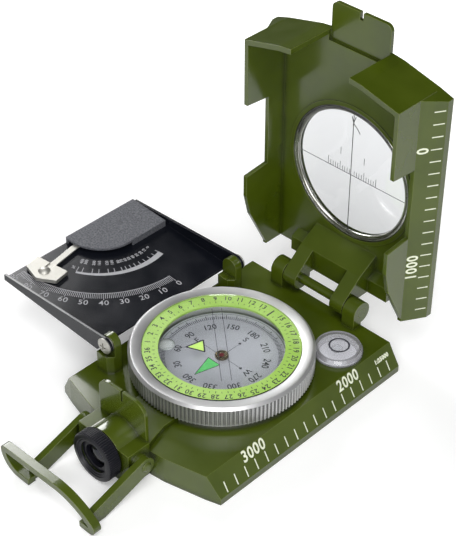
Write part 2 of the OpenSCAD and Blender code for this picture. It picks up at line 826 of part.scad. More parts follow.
// Walls that follow the bowed end, with the gap for the rear sight between them
module end_walls() {
    top_half = base_half - bevel_w;
    linear_extrude(tab_h) difference() {
        intersection() {
            bowed_outline(lid_near, lid_far, 1);
            translate([-top_half, lid_near]) square([2 * top_half, lid_far]);
        }
        translate([0, -end_wall]) bowed_outline(lid_near, lid_far, 1);
        translate([-sight_gap_w / 2, lid_near]) square([sight_gap_w, lid_far]);
        translate([-base_half, 0]) square([base_w, lid_far - end_bow]);
    }
}

// The stepped boss at the hinge, in Y and Z
module boss_profile() {
    crest_y = lid_near + boss_l;
    polygon([[lid_near, 0], [lid_near, boss_h], [crest_y, boss_h + boss_crest],
        [crest_y + boss_slope, lid_t], [crest_y + boss_slope, 0]]);
}

// One hinge arm of the lid, in Y and Z
module arm_of_lid_profile() {
    axis = [hinge_y, hinge_z];
    crest = [lid_near + boss_l, boss_h + boss_crest];
    translate(axis) circle(knuckle_r);
    polygon([[lid_near, lid_t], [lid_near, hinge_z], axis, touch_point(crest, axis, knuckle_r, -1), crest]);
}

module lid_body() {
    arm_high = knuckle_x - arm_gap;
    plate_end = lid_far - plate_step;
    color("olivedrab") lid_pose() difference() {
        union() {
            intersection() {
                linear_extrude(lid_rim_h) bowed_outline(lid_near, lid_far, 1);
                along_y(lid_near, lid_far + over) lid_section();
            }
            for (x = [-wall_x - lid_wall, wall_x]) {
                along_x(x, x + lid_wall) wall_tabs();
            }
            end_walls();
            linear_extrude(sight_tab_t)
                round_rect([-sight_gap_w / 2, lid_near + foot_l], [sight_gap_w / 2, plate_end + sight_tab_l],
                    tab_corner_r);
            translate([0, window_mid, 0]) cylinder(r = glass_r + rim_w, h = rim_h);
            along_x(-foot_w / 2, foot_w / 2) polygon([[lid_near, 0], [lid_near, foot_h],
                [lid_near + foot_l, foot_h], [lid_near + foot_l + foot_slope, lid_t],
                [lid_near + foot_l + foot_slope, 0]]);
            along_x(-arm_high, arm_high) boss_profile();
            for (x = [-arm_high, arm_high - arm_w]) {
                along_x(x, x + arm_w) arm_of_lid_profile();
            }
        }
        translate([0, window_mid, -over]) cylinder(r = window_r, h = rim_h + 2 * over);
        translate([0, window_mid, window_skin]) cylinder(r = glass_r + fit_gap, h = rim_h);
        translate([-sight_gap_w / 2, plate_end, sight_tab_t]) cube([sight_gap_w, plate_step + over, lid_rim_h]);
        translate([-tab_notch_w / 2, plate_end + sight_tab_l - tab_notch_l, -over])
            cube([tab_notch_w, tab_notch_l + over, sight_tab_t + 2 * over]);
        rod_x(pin_r + run_gap, -base_half, base_half, hinge_y, hinge_z);
    }
}

module window_glass() {
    color("lightcyan", 0.4) lid_pose() translate([0, window_mid, window_skin])
        cylinder(r = glass_r, h = glass_t);
}

module window_ring() {
    color("silver") lid_pose() translate([0, window_mid, 0])
        dial_ring(window_r, glass_r, window_skin + glass_t, window_skin + glass_t + ring_t);
}

module sighting_hair() {
    z = window_skin + glass_t + ring_t / 2;
    color("black") lid_pose() rod_y(hair_r, window_mid - window_r, window_mid + window_r, 0, z);
}

// Folds the clinometer out about its hinge
module clinometer_pose() {
    translate([clin_x, 0, clin_z]) rotate([0, clin_tilt, 0]) children();
}

// One flange of the clinometer with its hinge ear, in X and Z
module flange_profile() {
    low = -clin_drop - sheet_t;
    tip = [-clin_len, flange_h - clin_drop];
    heel = [-clin_start, low];
    circle(ear_r);
    neck = ear_r * [cos(neck_angle), sin(neck_angle)];
    polygon([tip, touch_point(tip, [0, 0], ear_r, 1), [0, 0], neck, heel, [-clin_len, low]]);
}

module clinometer_plate() {
    color([0.12, 0.12, 0.13]) difference() {
        clinometer_pose() difference() {
            union() {
                translate([-clin_len, -clin_near, -clin_drop - sheet_t])
                    cube([clin_len - clin_start, clin_w, sheet_t]);
                along_y(-clin_near, sheet_t - clin_near) flange_profile();
                along_y(clin_far - sheet_t, clin_far) flange_profile();
            }
            rod_y(shoulder_r + run_gap, -clin_near - over, clin_far + over, 0, 0);
            translate([pivot_x, pivot_y, -clin_drop - sheet_t - over])
                cylinder(r = post_r + fit_gap, h = sheet_t + 2 * over);
        }
        cylinder(r = bezel_r + clin_bezel_gap, h = clin_z);
    }
}

// A pan-head shoulder screw along +Y, its head's underside at y = 0
module pan_screw() {
    dome_r = (head_r * head_r + head_dome * head_dome) / (2 * head_dome);
    shoulder_l = sheet_t + clin_washer_t + 2 * clin_washer_gap;
    difference() {
        union() {
            rod_y(head_r, -head_edge, 0, 0, 0);
            intersection() {
                rod_y(head_r, -head_edge - head_dome, -head_edge, 0, 0);
                translate([0, dome_r - head_edge - head_dome, 0]) sphere(dome_r);
            }
            rod_y(shoulder_r, 0, shoulder_l, 0, 0);
            rod_y(thread_r, shoulder_l, shoulder_l + thread_l - run_gap, 0, 0);
        }
        for (turn = [0, 90]) {
            rotate([0, turn, 0])
                translate([-cross_slot_l / 2, -head_edge - head_dome - over, -cross_slot_w / 2])
                    cube([cross_slot_l, over + cross_slot_h, cross_slot_w]);
        }
    }
}

module clinometer_screws() {
    color("silver") clinometer_pose() {
        translate([0, -clin_near - clin_washer_gap, 0]) pan_screw();
        translate([0, clin_far + clin_washer_gap, 0]) rotate([0, 0, 180]) pan_screw();
    }
}

module clinometer_washers() {
    inner = near_lug_wall_y - clin_washer_t;
    color("gray") translate([clin_x, 0, clin_z]) difference() {
        union() {
            rod_y(clin_washer_r, inner, near_lug_wall_y, 0, 0);
            rod_y(clin_washer_r, far_lug_high_y, far_lug_high_y + clin_washer_t, 0, 0);
        }
        rod_y(shoulder_r + fit_gap, inner - over, far_lug_high_y + clin_washer_t + over, 0, 0);
    }
}

// Places a piece on the clinometer plate, at a height above its upper face
module on_plate(h) {
    clinometer_pose() translate([0, 0, h - clin_drop]) children();
}

// Outline of the sector cover, drawn in by an inset
module cover_outline(inset) {
    far_edge = clin_far - sheet_t - cover_flange_gap;
    translate([pivot_x, pivot_y]) {
        intersection() {
            circle(cover_r - inset);
            translate([0, -cover_r]) square(cover_r);
        }
        square([cover_r - inset, far_edge - pivot_y - inset]);
        translate([inset - pivot_inset, inset - cover_r])
            square([pivot_inset - inset + over, far_edge - pivot_y + cover_r - 2 * inset]);
    }
}

module sector_cover() {
    color([0.2, 0.2, 0.22]) on_plate(0) difference() {
        linear_extrude(cover_h) cover_outline(0);
        translate([0, 0, -over]) linear_extrude(cover_room + over) cover_outline(cover_wall);
        translate([pivot_x - slot_side, pivot_y - cover_r - over, -over])
            cube([cover_r + slot_side + over, cover_r + over + slot_side, cover_room + over]);
        translate([pivot_x, pivot_y, 0]) cylinder(r = post_r + fit_gap, h = cover_h + over);
    }
}

module pendulum_pivot() {
    color("silver") on_plate(0) translate([pivot_x, pivot_y, 0]) {
        translate([0, 0, -sheet_t]) cylinder(r = post_r, h = sheet_t + cover_h);
        cylinder(r = post_collar_r, h = post_collar_h);
    }
}

// Turns a pendulum piece to its reading, with +X from the pivot to the weight
module pendulum_pose(h) {
    on_plate(h) translate([pivot_x, pivot_y, 0]) rotate([0, 0, -pendulum_angle]) children();
}

module pendulum_arm() {
    color("silver") pendulum_pose(strip_h) difference() {
        union() {
            cylinder(r = hub_r, h = strip_t);
            translate([0, -strip_w / 2, 0]) cube([weight_tip_r - rivet_back + strip_tail, strip_w, strip_t]);
        }
        translate([0, 0, -over]) cylinder(r = post_r + run_gap, h = strip_t + 2 * over);
        translate([weight_tip_r - rivet_back, 0, -over])
            cylinder(r = rivet_shank_r + fit_gap, h = strip_t + 2 * over);
    }
}

module pendulum_weight() {
    shoulder = weight_tip_r - weight_tip;
    inner = shoulder - weight_side;
    half = weight_w / 2;
    color("silver") pendulum_pose(weight_h) difference() {
        linear_extrude(weight_t) polygon([[inner, -half], [inner, half], [shoulder, half],
            [weight_tip_r, 0], [shoulder, -half]]);
        translate([inner - over, -strip_w / 2 - run_gap, strip_h - weight_h - fit_gap])
            cube([weight_tip_r - rivet_back + strip_tail + run_gap - inner + over,
                strip_w + 2 * run_gap, weight_t]);
        translate([weight_tip_r - rivet_back, 0, -over])
            cylinder(r = rivet_shank_r + fit_gap, h = weight_t + 2 * over);
    }
}

module weight_rivet() {
    dome_r = (rivet_head_r * rivet_head_r + rivet_head_h * rivet_head_h) / (2 * rivet_head_h);
    color("silver") pendulum_pose(weight_h) translate([weight_tip_r - rivet_back, 0, 0]) {
        cylinder(r = rivet_shank_r, h = weight_t);
        translate([0, 0, weight_t]) intersection() {
            cylinder(r = rivet_head_r, h = rivet_head_h);
            translate([0, 0, rivet_head_h - dome_r]) sphere(dome_r);
        }
    }
}

base_body();
capsule_cup();
capsule_gasket();
capsule_lens();
card_pivot();
dial_card();
card_magnet();
card_jewel();
bezel_friction_washer();
bezel_retainer();
bezel_ring();
azimuth_ring();
bezel_crystal();
level_vial();
level_disc();
eyepiece_housing();
housing_screws();
eyepiece_prism();
focusing_ring();
lens_cell();
eyepiece_lens();
loop_pins();
thumb_loop();
lid_hinge_pin();
lid_body();
window_glass();
window_ring();
sighting_hair();
clinometer_plate();
clinometer_screws();
clinometer_washers();
sector_cover();
pendulum_pivot();
pendulum_arm();
pendulum_weight();
weight_rivet();
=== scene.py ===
import math
import bmesh
import bpy
from mathutils import Matrix, Vector


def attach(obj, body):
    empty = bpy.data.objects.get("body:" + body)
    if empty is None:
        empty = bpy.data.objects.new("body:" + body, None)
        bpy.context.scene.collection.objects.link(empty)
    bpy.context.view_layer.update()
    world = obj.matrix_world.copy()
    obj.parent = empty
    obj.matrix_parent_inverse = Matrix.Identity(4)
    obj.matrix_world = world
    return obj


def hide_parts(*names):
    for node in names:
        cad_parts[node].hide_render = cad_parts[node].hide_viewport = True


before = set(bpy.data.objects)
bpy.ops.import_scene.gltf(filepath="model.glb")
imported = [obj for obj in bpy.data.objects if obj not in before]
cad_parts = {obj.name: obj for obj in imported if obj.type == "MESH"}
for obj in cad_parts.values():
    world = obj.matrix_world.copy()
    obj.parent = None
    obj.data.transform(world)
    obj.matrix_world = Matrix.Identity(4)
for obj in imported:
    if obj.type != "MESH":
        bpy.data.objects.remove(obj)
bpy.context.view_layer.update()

# Studio: a pale floor under a soft key lamp on the left, a wide panel overhead and another
# in front on the right. The camera stands where the photograph was taken from, in front
# and to the right of the compass, looking down at it. Pieces are drawn in millimetres.
mm = 0.001
white = (1, 1, 1, 1)
scene = bpy.context.scene
scene.view_settings.view_transform = "Standard"
camera_place = Vector((227.95, -230.61, 300.84)) * mm
camera_right = Vector((0.7151, 0.6990, 0.0)).normalized()
camera_forward = Vector((-0.5489, 0.5615, -0.6192)).normalized()
camera_up = camera_right.cross(camera_forward)
camera = bpy.data.cameras.new("camera")
camera.lens = 119.07
camera.sensor_width = 36
camera.sensor_fit = "HORIZONTAL"
camera.clip_start = 10 * mm
camera.clip_end = 20
camera_object = bpy.data.objects.new("camera", camera)
camera_turn = Matrix((camera_right, camera_up, -camera_forward)).transposed().to_4x4()
camera_object.matrix_world = Matrix.Translation(camera_place) @ camera_turn
scene.collection.objects.link(camera_object)
scene.camera = camera_object


def softbox(name, place, target, width, height, power):
    """Adds an area lamp that faces its target"""
    lamp = bpy.data.lights.new(name, "AREA")
    lamp.shape = "RECTANGLE"
    lamp.size = width
    lamp.size_y = height
    lamp.energy = power
    lamp_object = bpy.data.objects.new(name, lamp)
    lamp_object.location = place
    toward = Vector(target) - Vector(place)
    lamp_object.rotation_euler = toward.to_track_quat("-Z", "Y").to_euler()
    scene.collection.objects.link(lamp_object)


softbox("key", (-0.80, 0.34, 0.52), (0, 0, 0.02), width=0.34, height=0.50, power=5.6)
softbox("overhead", (0.26, -0.26, 0.95), (0, 0, 0), width=0.60, height=0.60, power=4.2)
softbox("front", (0.62, -0.66, 0.50), (0, 0, 0.03), width=0.60, height=0.50, power=6.5)


def add(tree, kind, values=None, **settings):
    """Adds a node to a tree, makes its settings and fills in its inputs"""
    node = tree.nodes.new(kind)
    for name, value in settings.items():
        setattr(node, name, value)
    for socket, value in (values or {}).items():
        node.inputs[socket].default_value = value
    return node


def join(tree, *pairs):
    """Links each pair of an output and an input"""
    for output, socket in pairs:
        tree.links.new(output, socket)


# The room is dark behind the object and pale in front of it. The camera sees it white, and
# so does a ray that has only passed through glass, but not one that was mirrored inside it
world = bpy.data.worlds.new("studio")
scene.world = world
world.use_nodes = True
sky = world.node_tree
sky.nodes.clear()
pale_side = (0.62, -0.62, -0.48)
room_dim, room_pale = 0.03, 0.40
sky_out = add(sky, "ShaderNodeOutputWorld")
sky_mix = add(sky, "ShaderNodeMixShader")
sky_room = add(sky, "ShaderNodeBackground", {"Color": white})
sky_white = add(sky, "ShaderNodeBackground", {"Color": white, "Strength": 1.0})
sky_rays = add(sky, "ShaderNodeLightPath")
sky_way = add(sky, "ShaderNodeTexCoord")
sky_side = add(sky, "ShaderNodeVectorMath", {1: pale_side}, operation="DOT_PRODUCT")
sky_fade = add(sky, "ShaderNodeMapRange",
               {"From Min": -0.9, "From Max": 0.5, "To Min": room_dim, "To Max": room_pale})
sky_direct = add(sky, "ShaderNodeMath", {1: 0.5}, operation="LESS_THAN")
sky_clear = add(sky, "ShaderNodeMath", operation="MULTIPLY")
sky_seen = add(sky, "ShaderNodeMath", operation="MAXIMUM")
join(sky,
     (sky_way.outputs["Generated"], sky_side.inputs[0]),
     (sky_side.outputs["Value"], sky_fade.inputs["Value"]),
     (sky_fade.outputs[0], sky_room.inputs["Strength"]),
     (sky_rays.outputs["Glossy Depth"], sky_direct.inputs[0]),
     (sky_direct.outputs[0], sky_clear.inputs[0]),
     (sky_rays.outputs["Is Transmission Ray"], sky_clear.inputs[1]),
     (sky_rays.outputs["Is Camera Ray"], sky_seen.inputs[0]),
     (sky_clear.outputs[0], sky_seen.inputs[1]),
     (sky_seen.outputs[0], sky_mix.inputs[0]),
     (sky_room.outputs[0], sky_mix.inputs[1]),
     (sky_white.outputs[0], sky_mix.inputs[2]),
     (sky_mix.outputs[0], sky_out.inputs["Surface"]))

# The floor is matt, and grows white away from the object where it is only looked at
floor_half = 3
glow_near, glow_far = 0.07, 0.40
glow_least, glow_most = 0.22, 0.90
floor_mesh = bmesh.new()
bmesh.ops.create_grid(floor_mesh, x_segments=1, y_segments=1, size=floor_half)
floor_data = bpy.data.meshes.new("floor")
floor_mesh.to_mesh(floor_data)
floor_mesh.free()
floor_object = bpy.data.objects.new("floor", floor_data)
scene.collection.objects.link(floor_object)
floor_finish = bpy.data.materials.new("floor")
floor_finish.use_nodes = True
floor_tree = floor_finish.node_tree
floor_face = floor_tree.nodes["Principled BSDF"]
floor_face.inputs["Base Color"].default_value = (0.9, 0.9, 0.9, 1)
floor_face.inputs["Roughness"].default_value = 0.9
floor_face.inputs["Specular IOR Level"].default_value = 0
floor_glow = add(floor_tree, "ShaderNodeEmission")
floor_none = add(floor_tree, "ShaderNodeEmission", {"Strength": 0})
floor_place = add(floor_tree, "ShaderNodeNewGeometry")
floor_far = add(floor_tree, "ShaderNodeVectorMath", operation="LENGTH")
floor_fade = add(floor_tree, "ShaderNodeMapRange",
                 {"From Min": glow_near, "From Max": glow_far,
                  "To Min": glow_least, "To Max": glow_most})
floor_rays = add(floor_tree, "ShaderNodeLightPath")
floor_seen = add(floor_tree, "ShaderNodeMath", operation="MAXIMUM")
floor_pick = add(floor_tree, "ShaderNodeMixShader")
floor_sum = add(floor_tree, "ShaderNodeAddShader")
join(floor_tree,
     (floor_place.outputs["Position"], floor_far.inputs[0]),
     (floor_far.outputs["Value"], floor_fade.inputs["Value"]),
     (floor_fade.outputs[0], floor_glow.inputs["Strength"]),
     (floor_rays.outputs["Is Camera Ray"], floor_seen.inputs[0]),
     (floor_rays.outputs["Is Transmission Ray"], floor_seen.inputs[1]),
     (floor_seen.outputs[0], floor_pick.inputs[0]),
     (floor_none.outputs[0], floor_pick.inputs[1]),
     (floor_glow.outputs[0], floor_pick.inputs[2]),
     (floor_face.outputs[0], floor_sum.inputs[0]),
     (floor_pick.outputs[0], floor_sum.inputs[1]),
     (floor_sum.outputs[0], floor_tree.nodes["Material Output"].inputs["Surface"]))
floor_data.materials.append(floor_finish)

# Base casting: a die-cast plate with a sloping ruler edge, baked in glossy olive enamel,
# like the lid, the eyepiece housing and the thumb loop. Its colour is lighter along the
# edges, partly where the paint is thin and partly as a painted highlight, and darker in
# corners as painted shade. The ruler is printed on it in pale ink.
number = "NodeSocketFloat"
vector = "NodeSocketVector"


def group(name, inputs, outputs):
    """Starts a shader node group with named sockets and returns its tree and its ends"""
    tree = bpy.data.node_groups.new(name, "ShaderNodeTree")
    for label, kind, value in inputs:
        socket = tree.interface.new_socket(label, in_out="INPUT", socket_type=kind)
        socket.default_value = value
    for label, kind in outputs:
        tree.interface.new_socket(label, in_out="OUTPUT", socket_type=kind)
    return tree, tree.nodes.new("NodeGroupInput"), tree.nodes.new("NodeGroupOutput")


# Soft edges: rounds the look of a sharp edge, and tells where an edge or an open face is
edges, edges_in, edges_out = group("soft_edges", [("Radius", number, 0.3 * mm)],
                                   [("Normal", vector), ("Edge", number), ("Open", number)])
edge_round = add(edges, "ShaderNodeBevel", samples=6)
edge_face = add(edges, "ShaderNodeNewGeometry")
edge_dot = add(edges, "ShaderNodeVectorMath", operation="DOT_PRODUCT")
edge_mask = add(edges, "ShaderNodeMapRange", {"From Min": 0.995, "From Max": 0.80})
# Ambient occlusion: it darkens corners as painted shade and keeps the painted edge highlight
# off inside corners
edge_open = add(edges, "ShaderNodeAmbientOcclusion", {"Distance": 2.5 * mm}, samples=6)
edge_level = add(edges, "ShaderNodeMapRange", {"From Min": 0.45, "From Max": 0.9})
edge_sharp = add(edges, "ShaderNodeMath", operation="MULTIPLY")
join(edges,
     (edges_in.outputs["Radius"], edge_round.inputs["Radius"]),
     (edge_round.outputs[0], edge_dot.inputs[0]),
     (edge_face.outputs["Normal"], edge_dot.inputs[1]),
     (edge_dot.outputs["Value"], edge_mask.inputs["Value"]),
     (edge_open.outputs["AO"], edge_level.inputs["Value"]),
     (edge_mask.outputs[0], edge_sharp.inputs[0]),
     (edge_level.outputs[0], edge_sharp.inputs[1]),
     (edge_round.outputs[0], edges_out.inputs["Normal"]),
     (edge_sharp.outputs[0], edges_out.inputs["Edge"]),
     (edge_level.outputs[0], edges_out.inputs["Open"]))

# Skin: a fine orange-peel height and a slow unevenness
skin, skin_in, skin_out = group("skin", [("Grain", number, 900.0), ("Drift", number, 60.0)],
                                [("Height", number), ("Uneven", number)])
skin_place = add(skin, "ShaderNodeTexCoord")
skin_grain = add(skin, "ShaderNodeTexNoise", {"Detail": 3})
skin_drift = add(skin, "ShaderNodeTexNoise", {"Detail": 4})
skin_spread = add(skin, "ShaderNodeMapRange", {"From Min": 0.36, "From Max": 0.64})
join(skin,
     (skin_place.outputs["Object"], skin_grain.inputs["Vector"]),
     (skin_place.outputs["Object"], skin_drift.inputs["Vector"]),
     (skin_in.outputs["Grain"], skin_grain.inputs["Scale"]),
     (skin_in.outputs["Drift"], skin_drift.inputs["Scale"]),
     (skin_drift.outputs["Fac"], skin_spread.inputs["Value"]),
     (skin_grain.outputs["Fac"], skin_out.inputs["Height"]),
     (skin_spread.outputs[0], skin_out.inputs["Uneven"]))


def finish(name, dark, light, edge_wear_and_glint, rough, rough_most, bump, metallic=0, edge_r=0.25,
           grain=900, drift=60, coat=0, coat_rough=0.05, level=0.5, crease_shade=0.0):
    """Makes a finish that drifts from dark to light, lightens along edges with a painted
    highlight, which on enamel also stands for thin paint, and, by its crease share, darkens
    corners with painted shade. Radii are in mm and the two scales are per metre"""
    material = bpy.data.materials.new(name)
    material.use_nodes = True
    tree = material.node_tree
    shader = tree.nodes["Principled BSDF"]
    shader.inputs["Metallic"].default_value = metallic
    shader.inputs["Coat Weight"].default_value = coat
    shader.inputs["Coat Roughness"].default_value = coat_rough
    shader.inputs["Specular IOR Level"].default_value = level
    edge = add(tree, "ShaderNodeGroup", {"Radius": edge_r * mm}, node_tree=edges)
    surface = add(tree, "ShaderNodeGroup", {"Grain": grain, "Drift": drift}, node_tree=skin)
    blend = add(tree, "ShaderNodeMix", {"A": (*dark, 1), "B": (*light, 1)}, data_type="RGBA")
    # Painted highlight along edges, partly thin paint on enamel: the edge mask mixes in the
    # edge colour
    wear_and_edge_glint = add(tree, "ShaderNodeMix", {"B": (*edge_wear_and_glint, 1)}, data_type="RGBA")
    # Painted shade in corners and creases: the colour is multiplied by the ambient occlusion
    painted_crease_shade = add(tree, "ShaderNodeMix", {"Factor": crease_shade}, data_type="RGBA",
               blend_type="MULTIPLY")
    gloss = add(tree, "ShaderNodeMapRange", {"To Min": rough, "To Max": rough_most})
    relief = add(tree, "ShaderNodeBump", {"Strength": bump, "Distance": 0.1 * mm})
    join(tree,
         (surface.outputs["Uneven"], blend.inputs["Factor"]),
         (blend.outputs["Result"], wear_and_edge_glint.inputs["A"]),
         (edge.outputs["Edge"], wear_and_edge_glint.inputs["Factor"]),
         (wear_and_edge_glint.outputs["Result"], painted_crease_shade.inputs["A"]),
         (edge.outputs["Open"], painted_crease_shade.inputs["B"]),
         (painted_crease_shade.outputs["Result"], shader.inputs["Base Color"]),
         (surface.outputs["Uneven"], gloss.inputs["Value"]),
         (gloss.outputs[0], shader.inputs["Roughness"]),
         (surface.outputs["Height"], relief.inputs["Height"]),
         (edge.outputs["Normal"], relief.inputs["Normal"]),
         (relief.outputs[0], shader.inputs["Normal"]))
    return material


def dress(material, *nodes):
    """Gives CAD nodes their finish"""
    for node in nodes:
        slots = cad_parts[node].data.materials
        slots.clear()
        slots.append(material)


# Painted highlight in the edge colour, partly thin paint, and painted shade in corners by the
# crease share
olive = finish("olive_enamel", (0.046, 0.068, 0.002), (0.060, 0.085, 0.004),
               (0.15, 0.18, 0.04), 0.18, 0.26, 0.015, edge_r=0.3, coat=0.4, coat_rough=0.08,
               crease_shade=0.6)
dress(olive, "base_body", "eyepiece_housing", "lid_body", "thumb_loop", "lid_hinge_pin",
      "loop_pins")

# Print is a skin of ink a few hundredths of a millimetre thick
ink = 0.03
capital_share = 0.729


def lettering(bm, text, height, place, width=1.0, bold=0.0, space=1.0):
    """Adds print with its middle at the place given: its height is in mm, and its width and
    its spacing are shares of the typeface's own"""
    curve = bpy.data.curves.new("glyphs", "FONT")
    curve.body = text
    curve.size = height / capital_share
    curve.align_x = "CENTER"
    curve.align_y = "CENTER"
    curve.space_character = space
    curve.extrude = ink / 2
    curve.offset = bold
    curve.resolution_u = 3
    holder = bpy.data.objects.new("glyphs", curve)
    mesh = bpy.data.meshes.new_from_object(holder)
    mesh.transform(place @ Matrix.Diagonal((width, 1, 1, 1)))
    bm.from_mesh(mesh)
    bpy.data.meshes.remove(mesh)
    bpy.data.objects.remove(holder)
    bpy.data.curves.remove(curve)


def stroke(bm, start, end, width, place):
    """Adds one printed line between two points of the place's own plane"""
    start, end = Vector((*start, 0)), Vector((*end, 0))
    along = end - start
    turn = Matrix.Rotation(math.atan2(along.y, along.x), 4, "Z")
    size = Matrix.Diagonal((along.length, width, ink, 1))
    lay = Matrix.Translation((start + end) / 2) @ turn @ size
    bmesh.ops.create_cube(bm, size=1, matrix=place @ lay)


def outline(bm, corners, width, place):
    """Adds a printed line round a shape with straight sides"""
    for start, end in zip(corners, corners[1:] + corners[:1]):
        stroke(bm, start, end, width, place)


def blot(bm, corners, place):
    """Adds a printed shape with straight sides"""
    face = bm.faces.new([bm.verts.new(Vector((*c, -ink / 2))) for c in corners])
    drawn = bmesh.ops.extrude_face_region(bm, geom=[face])["geom"]
    top = [v for v in drawn if isinstance(v, bmesh.types.BMVert)]
    bmesh.ops.translate(bm, verts=top, vec=(0, 0, ink))
    bmesh.ops.transform(bm, matrix=place, verts=list(face.verts) + top)
    faces = {f for v in top for f in v.link_faces} | {face}
    bmesh.ops.recalc_face_normals(bm, faces=list(faces))


def band(bm, inner, outer, place, steps, start=0, end=360, thick=ink):
    """Adds a printed ring, or an arc of it between two angles in degrees"""
    a = math.radians(start)
    way = Vector((math.cos(a), math.sin(a), 0))
    section = ((inner, -thick / 2), (outer, -thick / 2), (outer, thick / 2), (inner, thick / 2))
    square = [bm.verts.new(way * r + Vector((0, 0, z))) for r, z in section]
    spin = {"cent": (0, 0, 0), "axis": (0, 0, 1), "angle": math.radians(end - start),
            "steps": steps}
    if end - start == 360:
        rim = [bm.edges.new((square[i], square[(i + 1) % 4])) for i in range(4)]
        bmesh.ops.spin(bm, geom=square + rim, use_merge=True, **spin)
        square = [v for e in rim for v in e.verts]
    else:
        bmesh.ops.spin(bm, geom=[bm.faces.new(square)], **spin)
    grown, edge = set(square), set(square)
    while edge:
        edge = {e.other_vert(v) for v in edge for e in v.link_edges} - grown
        grown |= edge
    bmesh.ops.transform(bm, matrix=place, verts=list(grown))
    bmesh.ops.recalc_face_normals(bm, faces=list({f for v in grown for f in v.link_faces}))


def dot(bm, radius, place, steps, thick=ink):
    """Adds a printed dot, as a ring with a hole too small to see"""
    band(bm, 0.02, radius, place, steps, thick=thick)


def piece(name, bm, body, material, smooth=None):
    """Turns a bmesh drawn in mm into a piece that rides on a body of the object"""
    bmesh.ops.scale(bm, vec=(mm, mm, mm), verts=bm.verts)
    mesh = bpy.data.meshes.new(name)
    bm.to_mesh(mesh)
    bm.free()
    mesh.materials.append(material)
    if smooth is not None:
        mesh.shade_smooth()
        mesh.set_sharp_from_angle(angle=math.radians(smooth))
    made = bpy.data.objects.new(name, mesh)
    scene.collection.objects.link(made)
    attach(made, body)
    return made


def plane(origin, along, up):
    """The matrix of a plane through origin whose X runs along and whose Y runs up"""
    along, up = Vector(along).normalized(), Vector(up)
    normal = along.cross(up).normalized()
    axes = Matrix((along, normal.cross(along), normal)).transposed().to_4x4()
    return Matrix.Translation(origin) @ axes


def print_ink(name, tone):
    """A flat, slightly uneven screen-printed ink"""
    # The lighter tone drifts in at random and also lightens the ink's edges as a faint painted
    # highlight
    light = [min(1, c * 1.12) for c in tone]
    return finish(name, tone, light, light, 0.45, 0.6, 0.05, edge_r=0.02, grain=2500, drift=500,
                  level=0.3)


cream_ink = print_ink("cream_ink", (0.68, 0.71, 0.56))
slope_top = Vector((27.8, 0, 9.0))
slope_foot = Vector((31.9, 0, 2.2))
up_slope = (slope_top - slope_foot).normalized()
base_first_y = 38.28
tick_gap = 4.0
tick_count = 18
tick_reach = (4.15, 7.4)
tick_w = 0.34
# A figure's distance down the slope, its height and its share of the typeface's width
ruler_figure = (2.0, 3.45, 0.86)
scale_figure = (2.75, 1.25, 1.0)


def ruler(bm, first_y, numbers):
    """Prints one ruler down a sloping edge, with a mark for every 100 m of a 1:25000 map"""
    for i in range(tick_count):
        y = first_y - i * tick_gap
        spot = plane(slope_top + Vector((0, y, 0)), (0, 1, 0), up_slope)
        stroke(bm, (0, -tick_reach[0]), (0, -tick_reach[1]), tick_w, spot)
    for text, y, (down, height, share) in numbers:
        spot = plane(slope_top + Vector((0, y, 0)), (0, 1, 0), up_slope)
        spot = spot @ Matrix.Translation((0, -down, 0))
        lettering(bm, text, height, spot, share, bold=0.1, space=1.1)


base_print = bmesh.new()
ruler(base_print, base_first_y, (("2000", 22.28, ruler_figure),
                                 ("3000", -17.0, ruler_figure),
                                 ("1:25000", 36.9, scale_figure)))
piece("base_ruler_print", base_print, "base", cream_ink)

# Capsule: a turned cup that holds damping fluid and the card, closed by a clear disc on a
# gasket. The fluid wets the cup's wall and the disc, so it is drawn a little way into both,
# and a small bubble of air is left under the disc.
turned_cup = finish("satin_cup", (0.60, 0.60, 0.61), (0.68, 0.68, 0.69), (0.8, 0.8, 0.8),
                    0.28, 0.42, 0.05, metallic=0.35, edge_r=0.1)
rubber = finish("black_gasket", (0.02, 0.02, 0.02), (0.03, 0.03, 0.03), (0.05, 0.05, 0.05),
                0.6, 0.8, 0.1, edge_r=0.1)
dress(turned_cup, "capsule_cup", "card_pivot")
dress(rubber, "capsule_gasket")


def glass(name, tint, ior, milk=0.0, milk_tint=(0.8, 0.8, 0.84)):
    """Clear glass or acrylic that lets the lamps' light through to what lies under it, with
    a share of milky haze"""
    material = bpy.data.materials.new(name)
    material.use_nodes = True
    tree = material.node_tree
    shader = tree.nodes["Principled BSDF"]
    shader.inputs["Base Color"].default_value = (*tint, 1)
    shader.inputs["Transmission Weight"].default_value = 1
    shader.inputs["Roughness"].default_value = 0
    shader.inputs["IOR"].default_value = ior
    clear = add(tree, "ShaderNodeBsdfTransparent", {"Color": (*tint, 1)})
    cloud = add(tree, "ShaderNodeBsdfDiffuse", {"Color": (*milk_tint, 1)})
    haze = add(tree, "ShaderNodeMixShader", {0: milk})
    rays = add(tree, "ShaderNodeLightPath")
    through = add(tree, "ShaderNodeMath", operation="MAXIMUM")
    pick = add(tree, "ShaderNodeMixShader")
    join(tree,
         (shader.outputs[0], haze.inputs[1]),
         (cloud.outputs[0], haze.inputs[2]),
         (rays.outputs["Is Shadow Ray"], through.inputs[0]),
         (rays.outputs["Is Diffuse Ray"], through.inputs[1]),
         (through.outputs[0], pick.inputs[0]),
         (haze.outputs[0], pick.inputs[1]),
         (clear.outputs[0], pick.inputs[2]),
         (pick.outputs[0], tree.nodes["Material Output"].inputs["Surface"]))
    return material


def air_bubble(place, radius, flat):
    """A round bubble of air, pressed flat under a lens by the share given"""
    bm = bmesh.new()
    bmesh.ops.create_uvsphere(bm, u_segments=32, v_segments=16, radius=radius,
                              matrix=Matrix.Translation(place)
                              @ Matrix.Diagonal((1, 1, flat, 1)))
    return bm


